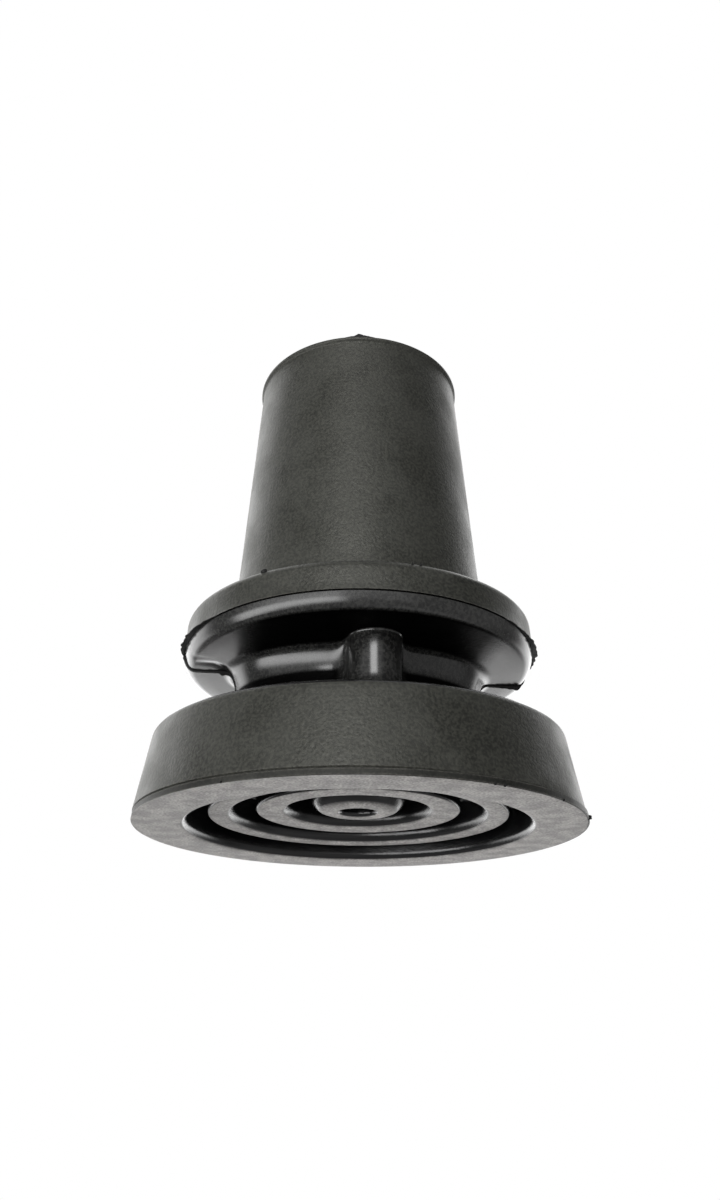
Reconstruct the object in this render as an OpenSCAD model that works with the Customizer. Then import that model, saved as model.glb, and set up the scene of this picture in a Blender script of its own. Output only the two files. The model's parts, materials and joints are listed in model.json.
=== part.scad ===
// Rubber tip for the foot of a walking cane, moulded in one piece.
// Origin: the middle of the flat tread that stands on the ground, +Z up along the cane.
// The two halves of the neck's mould meet in the XZ plane.
// The oval neck is long along X, and the ribs lie along Y.

/* [Cane socket] */
// Diameter of the socket, the size of the cane that it grips
cane_d = 22; // [18:0.5:24]
// Thickness of rubber between the socket's floor and the collar's underside
socket_floor_t = 7.4; // [4:0.2:12]
// Width of the bevel that leads the cane into the socket
mouth_bevel = 0.6; // [0.2:0.1:1.2]

/* [Sleeve] */
// Height of the sleeve, from the collar's shoulder to the rim
sleeve_h = 41; // [30:0.5:60]
// Outer diameter of the sleeve at the rim
rim_d = 30.3; // [28.5:0.1:32]
// Outer diameter of the sleeve where it meets the collar
sleeve_foot_d = 35.5; // [32.5:0.1:38]
// How far the lip at the rim stands out of the sleeve
lip_w = 0.3; // [0.1:0.05:0.5]
// Height of the lip at the rim
lip_h = 0.7; // [0.6:0.1:2]

/* [Collar] */
// Diameter of the collar at its parting line
collar_d = 49.2; // [46:0.2:54]
// Height of the collar, from its underside to its shoulder
collar_h = 6.4; // [5:0.1:9]
// Height of the parting line above the collar's underside
parting_h = 2.1; // [2.1:0.1:3]
// How much narrower the collar is at its shoulder than at its parting line, on each side
collar_draft = 0.65; // [0.2:0.05:1.2]
// How much the collar's top rises from its shoulder to the sleeve
collar_rise = 0.8; // [0:0.1:2]
// Radius of the collar's shoulder
shoulder_round = 1.2; // [0.4:0.1:1.6]
// How much the collar narrows from its parting line down to its underside, on each side
collar_low_draft = 0.9; // [0.8:0.05:1.2]
// Radius of the collar's lower edge
collar_low_round = 3.2; // [1:0.1:3.2]
// Radius of the hollow corner between the collar and the sleeve
sleeve_fillet = 2; // [0.5:0.1:3]

/* [Neck] */
// Height of the neck, from the base to the collar
neck_h = 9.8; // [8.2:0.1:12]
// Thickness of the neck at its waist, from front to back
neck_t = 24.8; // [22:0.2:26]
// How far the neck's two round ends reach from the axis
web_reach = 17; // [16.4:0.1:18]
// Radius of the hollow that runs round the neck, from the base up to the collar
hollow_r = 6.3; // [6:0.1:6.6]
// Radius of the hollow corner where the neck runs into the collar
neck_top_fillet = 1.5; // [0.5:0.1:1.6]
// How far the two ribs reach from the axis
rib_reach = 18.2; // [17:0.1:18.5]
// Width of each rib, which ends in a half round
rib_w = 6.6; // [6:0.2:7.4]
// Radius of the hollow corner where a rib runs into the base
rib_foot_fillet = 4.2; // [2:0.1:5]
// Radius of the hollow corner where a rib runs into the collar
rib_top_fillet = 0.6; // [0.2:0.1:1]
// Radius of the upright hollow corners between a rib and the neck
rib_root_fillet = 1.2; // [0.6:0.1:1.3]

/* [Base] */
// Diameter of the base at the tread
base_d = 58; // [54:0.5:66]
// Height of the base
base_h = 11.2; // [10:0.1:14]
// How much the base narrows from the tread to its top, on each side
base_draft = 1.8; // [0.8:0.1:2.6]
// Radius of the base's upper edge
base_top_round = 1.5; // [0.5:0.1:2.5]

/* [Underside] */
// Inner diameter of the flat tread
tread_in_d = 44.2; // [43:0.2:46]
// Radius of the tread's inner edge
tread_round = 1; // [0.4:0.1:1.4]
// Height of the ceiling of the grooves above the ground
groove_ceiling = 6.2; // [5.8:0.1:7]
// Radius of the corners at the grooves' ceiling
groove_round = 0.9; // [0.3:0.1:0.9]
// Outer diameter of the outer ring
ring_1_d = 39.2; // [38.6:0.1:39.6]
// Width of the outer ring
ring_1_w = 3.4; // [3:0.1:3.8]
// Height of the outer ring's face above the ground
ring_1_z = 1.55; // [1:0.05:2.2]
// Outer diameter of the inner ring
ring_2_d = 26.8; // [26:0.1:27.2]
// Width of the inner ring
ring_2_w = 4.4; // [4:0.1:4.6]
// Height of the inner ring's face above the ground
ring_2_z = 2.3; // [1.6:0.05:2.8]
// Radius of the rings' outer edges
ring_out_round = 0.5; // [0.2:0.1:0.8]
// Radius of the rings' inner edges
ring_in_round = 1.3; // [0.6:0.1:1.5]
// Diameter of the boss in the middle
boss_d = 12.8; // [11.6:0.1:13]
// Height of the boss's face above the ground
boss_z = 2.3; // [1.6:0.05:2.7]
// Radius of the boss's edge
boss_round = 2.5; // [1:0.1:2.8]
// Diameter of the hole in the boss
hole_d = 4.6; // [3:0.1:5]
// Depth of the hole in the boss
hole_depth = 5.5; // [3:0.1:6.5]

/* [Hidden] */
$fn = 96;
// Turn, in degrees, between two points of an arc
arc_step = 10;
// Extra length that makes a cut or a joint go clean through
over = 1;
// Distance by which a hollow corner's arc cuts into the walls that it joins
bite = 0.02;
// Radii, each half of its diameter above
cane_r = cane_d / 2;
rim_r = rim_d / 2;
sleeve_foot_r = sleeve_foot_d / 2;
collar_r = collar_d / 2;
base_r = base_d / 2;
tread_in_r = tread_in_d / 2;
ring_1_r = ring_1_d / 2;
ring_2_r = ring_2_d / 2;
boss_r = boss_d / 2;
neck_r = neck_t / 2;
// Heights above the ground, stacked up from the tread
collar_under_z = base_h + neck_h;
parting_z = collar_under_z + parting_h;
shoulder_z = collar_under_z + collar_h;
rim_z = shoulder_z + sleeve_h;
socket_floor_z = collar_under_z + socket_floor_t;
// Distance from the axis to the centre of a round end of the neck
web_c = web_reach - neck_r;
// Height of the hollow's part above the waist, up to the collar
hollow_rise = neck_h - hollow_r;
// Half the width of a rib, and the distance from the axis to the centre of its half round
rib_r = rib_w / 2;
rib_c = rib_reach - rib_r;

// Points of an arc round c, from angle a0 to angle a1
function arc(c, r, a0, a1) =
    let (steps = max(1, ceil(abs(a1 - a0) / arc_step)))
    [for (i = [0:steps]) let (a = a0 + (a1 - a0) * i / steps) c + r * [cos(a), sin(a)]];

// Angle a brought between -180 and 180 degrees
function turn(a) = a > 180 ? a - 360 : a < -180 ? a + 360 : a;

// Corner b of an outline, rounded to radius r between its neighbours a and c
function corner(a, b, c, r) =
    let (
        u = (a - b) / norm(a - b),
        w = (c - b) / norm(c - b),
        half = acos(u * w) / 2,
        centre = b + (u + w) / norm(u + w) * r / sin(half),
        start = b + u * r / tan(half) - centre,
        finish = b + w * r / tan(half) - centre,
        a0 = atan2(start.y, start.x),
        sweep = turn(atan2(finish.y, finish.x) - a0)
    )
    arc(centre, r, a0, a0 + sweep);

// Outline through corners of the form [x, y, radius]
function rounded(corners) =
    let (n = len(corners), at = [for (k = corners) [k.x, k.y]])
    [for (i = [0:n - 1])
        each corners[i].z > 0
            ? corner(at[(i + n - 1) % n], at[i], at[(i + 1) % n], corners[i].z)
            : [at[i]]];

// Arc that runs out on the base, at the foot of a wall at distance r
function foot_arc(r, foot_r) = concat(
    [[0, base_h - over], [r + foot_r, base_h - over]],
    arc([r + foot_r, base_h + foot_r - bite], foot_r, 270, 180)
);

// Arc that runs out under the collar, from angle a0, at the head of a wall. Its end is at distance r
function head_arc(r, head_r, a0) = concat(
    arc([r, collar_under_z - head_r + bite], head_r, a0, 90),
    [[r, collar_under_z + over], [0, collar_under_z + over]]
);

// Half section of the neck at distance r: one hollow, and a tighter corner where it meets the collar
function neck_section(r) =
    let (
        inner_r = hollow_r - neck_top_fillet,
        lean = asin((hollow_rise - neck_top_fillet) / inner_r)
    )
    concat(
        foot_arc(r, hollow_r),
        arc([r + hollow_r, base_h + hollow_r + bite], hollow_r, 180, 180 - lean),
        head_arc(r + hollow_r - inner_r * cos(lean), neck_top_fillet, 180 - lean)
    );

// Half section of a rib at distance r from its middle
function rib_section(r) = concat(
    foot_arc(r, rib_foot_fillet),
    head_arc(r + rib_top_fillet, rib_top_fillet, 180)
);

// Wall with the given half section, turned through sweep degrees, its middle towards angle mid
module round_wall(section, mid, sweep) {
    rotate([0, 0, mid - sweep / 2]) rotate_extrude(angle = sweep) polygon(section);
}

// Wall with the given half section that runs straight from the axis along +X for a length, and faces -Y
module straight_wall(section, length) {
    rotate([90, 0, 90]) linear_extrude(length) mirror([1, 0]) polygon(section);
}

// Sleeve and collar, turned as one
module sleeve_and_collar() {
    rotate_extrude() polygon(rounded([
        [0, collar_under_z, 0],
        [collar_r - collar_low_draft, collar_under_z, collar_low_round],
        [collar_r, parting_z, 0],
        [collar_r - collar_draft, shoulder_z, shoulder_round],
        [sleeve_foot_r, shoulder_z + collar_rise, sleeve_fillet],
        [rim_r, rim_z - lip_h, 0],
        [rim_r + lip_w, rim_z - lip_h + lip_w, 0],
        [rim_r + lip_w, rim_z, 0],
        [0, rim_z, 0]
    ]));
}

// Base with its tread, two rings and boss, and the grooves between them
module base() {
    rotate_extrude() polygon(rounded([
        [0, boss_z, 0],
        [boss_r, boss_z, boss_round],
        [boss_r, groove_ceiling, groove_round],
        [ring_2_r - ring_2_w, groove_ceiling, groove_round],
        [ring_2_r - ring_2_w, ring_2_z, ring_in_round],
        [ring_2_r, ring_2_z, ring_out_round],
        [ring_2_r, groove_ceiling, groove_round],
        [ring_1_r - ring_1_w, groove_ceiling, groove_round],
        [ring_1_r - ring_1_w, ring_1_z, ring_in_round],
        [ring_1_r, ring_1_z, ring_out_round],
        [ring_1_r, groove_ceiling, groove_round],
        [tread_in_r, groove_ceiling, groove_round],
        [tread_in_r, 0, tread_round],
        [base_r, 0, 0],
        [base_r - base_draft, base_h, base_top_round],
        [0, base_h, 0]
    ]));
}

// Core of the neck: an oval with two round ends and two straight flanks, and a hollow all round it
module neck_core() {
    for (side = [0, 1]) mirror([side, 0, 0]) {
        translate([web_c, 0, 0]) round_wall(neck_section(neck_r), 0, 180);
        for (face = [0, 1]) mirror([0, face, 0]) straight_wall(neck_section(neck_r), web_c);
    }
}

// Rib with a half round nose, towards -Y
module rib() {
    translate([0, -rib_c, 0]) round_wall(rib_section(rib_r), -90, 180);
    for (side = [0, 1]) mirror([side, 0, 0]) {
        rotate([0, 0, -90]) mirror([0, 1, 0]) straight_wall(rib_section(rib_r), rib_c);
        rib_root();
    }
}

// Hollow corner between a rib and the neck's flank, one side of it
module rib_root() {
    root_x = rib_r + rib_root_fillet - bite;
    root_y = neck_r + rib_root_fillet - bite;
    translate([0, 0, base_h - over]) linear_extrude(neck_h + 2 * over) difference() {
        translate([0, -root_y]) square([root_x, root_y]);
        translate([root_x, -root_y]) circle(rib_root_fillet);
    }
}

module socket() {
    translate([0, 0, socket_floor_z]) cylinder(h = rim_z - socket_floor_z + over, r = cane_r);
    translate([0, 0, rim_z - mouth_bevel])
        cylinder(h = mouth_bevel + over, r1 = cane_r, r2 = cane_r + mouth_bevel + over);
}

module boss_hole() {
    translate([0, 0, -over]) cylinder(h = boss_z + hole_depth + over, r = hole_d / 2);
}

module rubber_tip() {
    color([0.10, 0.10, 0.11]) difference() {
        union() {
            sleeve_and_collar();
            neck_core();
            rib();
            mirror([0, 1, 0]) rib();
            base();
        }
        socket();
        boss_hole();
    }
}

rubber_tip();
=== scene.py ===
# %% [markdown]
# # A rubber tip for a walking cane
# The tip is one piece of black rubber, moulded round a core pin for its socket. It stands on
# a wide tread, and a waisted neck lets it bend when the cane leans. The solid from the CAD
# model gives its place and size. The surface that shows is built here on the same
# measures, because a finely divided skin takes round edges, mould lines and small
# unevenness better than a solid that was cut into triangles.

import json
import math

import bmesh
import bpy
import numpy as np
from mathutils import Matrix, Vector, noise

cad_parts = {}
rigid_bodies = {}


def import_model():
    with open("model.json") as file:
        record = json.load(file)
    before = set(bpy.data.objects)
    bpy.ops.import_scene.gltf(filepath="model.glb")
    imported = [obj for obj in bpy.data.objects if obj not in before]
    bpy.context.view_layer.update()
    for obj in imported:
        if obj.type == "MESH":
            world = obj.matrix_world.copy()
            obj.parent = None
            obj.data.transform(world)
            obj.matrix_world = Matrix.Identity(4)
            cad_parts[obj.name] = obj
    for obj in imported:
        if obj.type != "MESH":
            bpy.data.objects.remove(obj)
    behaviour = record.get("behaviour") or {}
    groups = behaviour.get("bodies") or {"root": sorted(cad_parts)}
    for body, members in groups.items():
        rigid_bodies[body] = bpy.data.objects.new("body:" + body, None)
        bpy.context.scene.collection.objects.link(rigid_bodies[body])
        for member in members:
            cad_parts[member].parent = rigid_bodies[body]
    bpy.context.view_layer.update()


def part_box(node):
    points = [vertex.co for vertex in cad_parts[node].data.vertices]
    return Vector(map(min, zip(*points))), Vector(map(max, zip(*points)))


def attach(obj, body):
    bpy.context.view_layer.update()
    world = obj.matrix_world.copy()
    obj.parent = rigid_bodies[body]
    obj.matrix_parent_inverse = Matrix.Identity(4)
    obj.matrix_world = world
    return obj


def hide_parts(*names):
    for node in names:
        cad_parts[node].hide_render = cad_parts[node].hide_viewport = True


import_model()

# %% [markdown]
# All sizes are in millimetres, as a mould maker would write them, and they are turned into
# metres only when the mesh is made. The height and the widths of tread and rim come from the
# frame, so the skin always fits the solid that it stands for.

# %% Sizes of the tip
MM = 0.001
node_low, node_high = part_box("rubber_tip")
BASE_R = (node_high.x - node_low.x) / 2 / MM
RIM_Z = (node_high.z - node_low.z) / MM

BASE_H, NECK_H, COLLAR_H = 11.2, 9.8, 6.4
UNDER_Z = BASE_H + NECK_H
PARTING_Z = UNDER_Z + 2.35
SHOULDER_Z = UNDER_Z + COLLAR_H
BASE_TOP_R, COLLAR_R, COLLAR_SHOULDER_R = BASE_R - 1.8, 24.1, 23.9
SLEEVE_FOOT_R, RIM_R, LIP_W, LIP_H = 17.75, 15.15, 0.3, 0.7
SOCKET_R, SOCKET_FLOOR_Z, BEVEL = 11.0, UNDER_Z + 7.4, 0.6
print("tread radius", round(BASE_R, 2), "mm, rim at", round(RIM_Z, 2), "mm")

# %% [markdown]
# The photographer looked up at the tip from below its tread, from close by, so the wide
# base looks much larger than the far rim. A lens of 27.6 mm on a 36 mm sensor and a distance
# of 121 mm give that perspective. The camera was not held quite level, and it did not aim
# quite at the tip: both show in the circles, which hang a little lower on the right. A lens
# shift puts its axis on the pixel of the photo that it really meets.

# %% Camera
CAMERA_DISTANCE, CAMERA_Z = 120.93, -23.49
CAMERA_TURN, CAMERA_PITCH, CAMERA_ROLL = math.radians(6.7), math.radians(25), math.radians(0.65)
CAMERA_ASIDE = 2.97
LENS, SENSOR_W = 27.6, 36.0
NEAREST, FARTHEST = 0.005, 20.0
PHOTO_W, PHOTO_H = 720, 1200
AXIS_PIXEL_X, AXIS_PIXEL_Y = 337.7, 601.1


def add_camera():
    data = bpy.data.cameras.new("camera")
    data.lens, data.sensor_width = LENS, SENSOR_W
    data.clip_start, data.clip_end = NEAREST, FARTHEST
    data.shift_x = (PHOTO_W / 2 - AXIS_PIXEL_X) / PHOTO_H
    data.shift_y = (AXIS_PIXEL_Y - PHOTO_H / 2) / PHOTO_H
    camera = bpy.data.objects.new("camera", data)
    turn = Matrix.Rotation(-CAMERA_TURN, 4, "Z")
    place = Matrix.Translation(Vector((-CAMERA_ASIDE, -CAMERA_DISTANCE, CAMERA_Z)) * MM)
    tilt = Matrix.Rotation(math.pi / 2 + CAMERA_PITCH, 4, "X")
    camera.matrix_world = turn @ place @ tilt @ Matrix.Rotation(CAMERA_ROLL, 4, "Z")
    bpy.context.scene.collection.objects.link(camera)
    bpy.context.scene.camera = camera
    return camera


camera = add_camera()
print("camera at", [round(x, 4) for x in camera.location])

# %% [markdown]
# A turned shape is easiest to read as a list of corners, each with the radius of its
# rounding. One helper turns such a list into points. A second one adds points on
# long straight stretches, so that the skin's unevenness shows there too.

# %% Rounded outline
ARC_STEP, FEWEST_STEPS = math.radians(13), 3


def rounded(corners):
    """Points of an open outline through corners (r, z, radius). The end corners stay sharp."""
    points = [np.array(corners[0][:2], float)]
    for before, here, after in zip(corners, corners[1:], corners[2:]):
        b, radius = np.array(here[:2], float), here[2]
        if radius == 0:
            points.append(b)
            continue
        u = np.array(before[:2]) - b
        w = np.array(after[:2]) - b
        u, w = u / np.linalg.norm(u), w / np.linalg.norm(w)
        half = math.acos(np.clip(u @ w, -1, 1)) / 2
        centre = b + (u + w) / np.linalg.norm(u + w) * radius / math.sin(half)
        start = b + u * radius / math.tan(half) - centre
        a0 = math.atan2(start[1], start[0])
        sweep = math.pi - 2 * half
        side = u[0] * w[1] - u[1] * w[0]
        steps = max(FEWEST_STEPS, math.ceil(sweep / ARC_STEP))
        for i in range(steps + 1):
            a = a0 - math.copysign(sweep, side) * i / steps
            points.append(centre + radius * np.array([math.cos(a), math.sin(a)]))
    points.append(np.array(corners[-1][:2], float))
    return points


def spread(points, longest):
    """The same outline with extra points, so that no piece of it is longer than the given length."""
    out = [points[0]]
    for a, b in zip(points, points[1:]):
        pieces = max(1, math.ceil(np.linalg.norm(b - a) / longest))
        out += [a + (b - a) * i / pieces for i in range(1, pieces + 1)]
    return out


# %% [markdown]
# From the middle outwards: the small blind hole, the boss, two rings and the flat tread.
# Rings and boss lie a little higher than the tread, so they touch the ground only when the
# rubber is pressed down. Their outer edges are crisp, and their inner edges are soft.

# %% Outline of the underside
HOLE_R, HOLE_TOP, HOLE_EDGE = 2.3, 7.8, 0.6
HOLE_FAN_R = 0.4
BOSS_R, BOSS_Z = 6.4, 2.3
RING_1_OUT, RING_1_IN, RING_1_Z = 19.6, 16.2, 1.55
RING_2_OUT, RING_2_IN, RING_2_Z = 13.4, 9.0, 2.3
CRISP, SOFT = 0.4, 1.3
TREAD_IN, GROOVE_Z, GROOVE_ROUND = 22.1, 6.2, 0.9
UNDERSIDE_STEP = 1.6

underside = rounded([
    (HOLE_FAN_R, HOLE_TOP, 0),
    (HOLE_R, HOLE_TOP, 0.5),
    (HOLE_R, BOSS_Z, HOLE_EDGE),
    (BOSS_R, BOSS_Z, 2.5),
    (BOSS_R, GROOVE_Z, GROOVE_ROUND),
    (RING_2_IN, GROOVE_Z, GROOVE_ROUND),
    (RING_2_IN, RING_2_Z, SOFT),
    (RING_2_OUT, RING_2_Z, CRISP),
    (RING_2_OUT, GROOVE_Z, GROOVE_ROUND),
    (RING_1_IN, GROOVE_Z, GROOVE_ROUND),
    (RING_1_IN, RING_1_Z, SOFT),
    (RING_1_OUT, RING_1_Z, CRISP),
    (RING_1_OUT, GROOVE_Z, GROOVE_ROUND),
    (TREAD_IN, GROOVE_Z, GROOVE_ROUND),
    (TREAD_IN, 0, 1.0),
    (BASE_R, 0, 0),
])
underside = spread(underside, UNDERSIDE_STEP)
print("underside outline has", len(underside), "points")

# %% [markdown]
# The flank leans in, so that the tip comes out of its mould. The tread was formed by a plate
# of its own, which sat a little to the right, so a fine step runs round the foot of the
# flank.

# %% Outline of the flank
PLATE_H, PLATE_OUT, PLATE_SHIFT = 0.85, 0.10, 0.13
STEP_IN, STEP_H = 0.06, 0.15
BASE_TOP_ROUND, BASE_TOP_FLAT = 1.1, 1.6
FLANK_STEP = 1.4

flank = rounded([
    (BASE_R - STEP_IN, PLATE_H + STEP_H, 0),
    (BASE_TOP_R, BASE_H, BASE_TOP_ROUND),
    (BASE_TOP_R - BASE_TOP_FLAT, BASE_H, 0),
])
flank = spread(flank, FLANK_STEP)
print("flank outline has", len(flank), "points")

# %% [markdown]
# The collar has a groove where the upper and lower parts of the mould met. Below the groove
# the mould had a front and a back half, and the back one is slightly larger, with a rounder
# edge. This leaves a step at both ends of the neck. Both halves follow one outline with its
# own edge radius, so that their points pair up one to one.

# %% Outlines of the lower collar
BACK_OUT, BACK_LOW = 0.3, 0.15
FRONT_ROUND, BACK_ROUND = 1.1, 1.7
UNDER_FLAT, EDGE_IN = 3.8, 0.85
KNEE_IN, KNEE_H, KNEE_ROUND = 0.27, 1.2, 3.0
LINE_IN, LINE_H, LINE_DEPTH, LINE_LIP = 0.06, 0.2, 0.3, 0.03


def collar_low(radius):
    """The collar below its groove: nearly upright, then leaning in to a rounded lower edge."""
    return rounded([
        (COLLAR_R - UNDER_FLAT, UNDER_Z, 0),
        (COLLAR_R - EDGE_IN, UNDER_Z, radius),
        (COLLAR_R - KNEE_IN, UNDER_Z + KNEE_H, KNEE_ROUND),
        (COLLAR_R - LINE_IN, PARTING_Z - LINE_H, 0),
    ])


collar_front, collar_back = collar_low(FRONT_ROUND), collar_low(BACK_ROUND)
line_groove = [
    np.array([COLLAR_R - LINE_DEPTH, PARTING_Z - 0.8 * LINE_H]),
    np.array([COLLAR_R - LINE_DEPTH, PARTING_Z - 0.1 * LINE_H]),
    np.array([COLLAR_R + LINE_LIP, PARTING_Z]),
]
print("lower collar has", len(collar_front), "points on each half")

# %% [markdown]
# Above the groove the collar rises to a soft shoulder, and the sleeve runs from there to the
# rim, where a thin lip stands out. The outline then turns down into the socket, whose mouth
# has a small bevel that helps the cane in.

# %% Outline from the groove to the socket's floor
LIP_TOP_H = 0.42
SOCKET_FAN_R = 0.6
SLEEVE_STEP = 2.4

collar_high = rounded([
    (COLLAR_R + LINE_LIP, PARTING_Z, 0),
    (COLLAR_R, PARTING_Z + 0.12, 0),
    (COLLAR_SHOULDER_R, SHOULDER_Z, 1.2),
    (SLEEVE_FOOT_R, SHOULDER_Z + 0.8, 2.0),
    (RIM_R, RIM_Z - LIP_H, 0.15),
    (RIM_R + LIP_W, RIM_Z - LIP_TOP_H, 0.12),
    (RIM_R + LIP_W, RIM_Z, 0.15),
    (SOCKET_R + BEVEL, RIM_Z, 0.2),
    (SOCKET_R, RIM_Z - BEVEL, 0.2),
    (SOCKET_R, SOCKET_FLOOR_Z, 0.5),
    (SOCKET_FAN_R, SOCKET_FLOOR_Z, 0),
])[1:]
collar_high = spread(collar_high, SLEEVE_STEP)
print("collar, sleeve and socket have", len(collar_high), "points")

# %% [markdown]
# Seen from above, the neck is an oval, and a narrow half-round rib stands out at the front
# and back. One hollow runs all round the oval, from the base up to the collar, where it ends
# in a tighter corner. Such a plan is easy to give as a distance to its wall, where two shapes
# melt together by a smooth minimum of their distances.

# %% Distances to the neck's plan
def rounded_bar(x, y, half_w, half_d, edge_r):
    """Distance from a point to the wall of a bar with rounded edges: negative inside."""
    across, along = np.abs(x) - (half_w - edge_r), np.abs(y) - (half_d - edge_r)
    beyond = np.hypot(np.maximum(across, 0), np.maximum(along, 0))
    return beyond + np.minimum(np.maximum(across, along), 0) - edge_r


def ellipse(x, y, half_w, half_d):
    """Distance from a point to an ellipse, near enough: negative inside."""
    near = np.hypot(x / half_w, y / half_d)
    slope = np.hypot(x / half_w**2, y / half_d**2)
    return near * (near - 1) / np.maximum(slope, 1e-6)


def smooth_union(a, b, blend):
    """Distance to two shapes that melt together where both are nearer than the blend."""
    h = np.maximum(blend - np.abs(a - b), 0) / blend
    return np.minimum(a, b) - h * h * blend / 4


# %% [markdown]
# The hollow is an arc, and its corner at the collar is a smaller arc that takes over where
# both have the same slope. The ribs have hollow corners of their own, large at the foot and
# tight at the collar. Forty halvings of a ray find the wall to far below a micrometre, which
# is simpler than solving for it.

# %% Wall of the neck
NECK_R, NECK_REACH, HOLLOW_R, NECK_TOP_FILLET = 12.4, 16.75, 6.3, 1.5
RIB_R, RIB_REACH, RIB_FOOT_FILLET, RIB_TOP_FILLET = 3.3, 18.2, 4.2, 0.3
ROOT_BLEND = 2.0
SEARCH_LIMIT, SEARCH_STEPS = 30.0, 40


def flare(depth, radius):
    """How far a hollow stands out at a depth past the place where its arc begins."""
    return radius - math.sqrt(radius**2 - min(max(depth, 0), radius) ** 2)


def hollow_flare(z):
    """How far the hollow round the neck stands out, with its tighter corner at the collar."""
    waist_z, head_z = BASE_H + HOLLOW_R, UNDER_Z - NECK_TOP_FILLET
    inner_r = HOLLOW_R - NECK_TOP_FILLET
    lean = math.asin((head_z - waist_z) / inner_r)
    if z - waist_z < HOLLOW_R * math.sin(lean):
        return flare(abs(z - waist_z), HOLLOW_R)
    return flare(z - head_z, NECK_TOP_FILLET) + inner_r * (1 - math.cos(lean))


def neck_wall(angle, z):
    """Radius of the neck at each angle, at a height above the ground."""
    core_flare = hollow_flare(z)
    rib_flare = flare(BASE_H + RIB_FOOT_FILLET - z, RIB_FOOT_FILLET)
    rib_flare += flare(z - UNDER_Z + RIB_TOP_FILLET, RIB_TOP_FILLET)
    low, high = np.zeros_like(angle), np.full_like(angle, SEARCH_LIMIT)
    c, s = np.cos(angle), np.sin(angle)
    for _ in range(SEARCH_STEPS):
        mid = (low + high) / 2
        x, y = mid * c, mid * s
        core = ellipse(x, y, NECK_REACH + core_flare, NECK_R + core_flare)
        rib = rounded_bar(x, y, RIB_R, RIB_REACH, RIB_R) - rib_flare
        inside = smooth_union(core, rib, ROOT_BLEND) < 0
        low, high = np.where(inside, mid, low), np.where(inside, high, mid)
    return low


# %% [markdown]
# The skin is one grid. Its columns run up the tip like the staves of a barrel, close
# together near the ribs and the mould's seams and wider elsewhere. One quarter is laid out,
# and the rest are its mirror images, as on the mould.

# %% Columns
FINE, COARSE = math.radians(0.75), math.radians(2.0)
RIB_SPAN, SEAM_SPAN = math.radians(23), math.radians(15)
HAIR = 1e-6


def even_steps(start, stop, step):
    """Angles from start to just before stop, no further apart than the step."""
    return np.linspace(start, stop, math.ceil((stop - start) / step), endpoint=False)


def column_angles():
    """Angles from +X all round, fine beside the mould's seams at +X and -X and the two ribs."""
    quarter = math.pi / 2
    first = np.concatenate([
        even_steps(0, SEAM_SPAN, FINE),
        even_steps(SEAM_SPAN, quarter - RIB_SPAN, COARSE),
        even_steps(quarter - RIB_SPAN, quarter, FINE),
    ])
    half = np.concatenate([first, math.pi - np.append(first, quarter)[:0:-1]])
    return np.concatenate([half, half + math.pi])


angles = column_angles()
at_back = (angles > HAIR) & (angles < math.pi - HAIR)
print("columns:", len(angles), "of which at the back:", int(at_back.sum()))

# %% [markdown]
# A row holds a radius and a height for each column, and the name of the finish up to it.
# Most rows are plain circles. The plate's rows are shifted to the right and slightly ragged,
# the lower collar's rows jump where the mould's back half begins, and the neck's rows follow
# the wall that was just found.

# %% Rows
NECK_ROWS, HEAD_ROWS, FLAT_ROWS = 22, 10, 9
PLATE_WAVES, PLATE_RAGGED = 9, 0.03
PLATE_STATIONS = ((0.06, 0.0), (PLATE_H - 0.12, 0.05), (PLATE_H, 0.2 + PLATE_OUT))


def circle_rows(points, finish):
    """One round row for each point of an outline."""
    return [(np.full_like(angles, r), np.full_like(angles, z), finish) for r, z in points]


def plate_rows():
    """The foot of the flank, formed by the tread's plate, and the fine step above it."""
    around = [Vector((math.cos(a), math.sin(a), 0)) * PLATE_WAVES for a in angles]
    uneven_r = np.array([noise.noise(at) for at in around])
    out = BASE_R + PLATE_OUT + PLATE_SHIFT * np.cos(angles) + PLATE_RAGGED * uneven_r
    return [(out - inset, np.full_like(angles, z), "plate") for z, inset in PLATE_STATIONS]


def collar_low_rows():
    """The collar below its groove. The back half of the mould is slightly larger and hangs lower."""
    out = []
    for front, back in zip(collar_front, collar_back):
        low = BACK_LOW * (PARTING_Z - back[1]) / (PARTING_Z - UNDER_Z)
        r = np.where(at_back, back[0] + BACK_OUT, front[0])
        out.append((r, np.where(at_back, back[1] - low, front[1]), "shiny"))
    return out


def neck_rows():
    """Rows from the base to the collar, closest together at the two ends."""
    head_z = UNDER_Z - NECK_TOP_FILLET
    foot = BASE_H + (head_z - BASE_H) * (1 - np.cos(np.linspace(0, math.pi / 2, NECK_ROWS)))
    head = UNDER_Z - NECK_TOP_FILLET * (1 - np.sin(np.linspace(0, math.pi / 2, HEAD_ROWS)))
    out = []
    for h in list(foot[:-1]) + list(head):
        low = BACK_LOW * max(0, h - head_z) / NECK_TOP_FILLET
        z = np.where(at_back, h - low, h)
        out.append((neck_wall(angles, h) + np.where(at_back, 0.5 * BACK_OUT, 0), z, "shiny"))
    return out


def flat_rows(start, end, finish):
    """Rows on a flat between two other rows."""
    shares = np.linspace(0, 1, FLAT_ROWS + 1)[1:-1]
    return [tuple(a + (b - a) * f for a, b in zip(start[:2], end[:2])) + (finish,) for f in shares]


# %% [markdown]
# The rows run from the hole in the boss over the tread, up the outside and down into the
# socket. Inside the small hole the colour is a painted near black, as shade. The topmost
# edge of the base takes the neck's shiny finish, which paints shade on it where it does
# not face up, except at the ribs, so these rows get other finishes.

# %% Chain of rows
SHADED_TOP, HOLE_MARGIN = 0.5, 0.05


def repainted(some_rows, chosen, finish):
    """The same rows, with another finish on those that the test picks by radius and height."""
    return [(r, z, finish if chosen(r[0], z[0]) else old) for r, z, old in some_rows]


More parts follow.
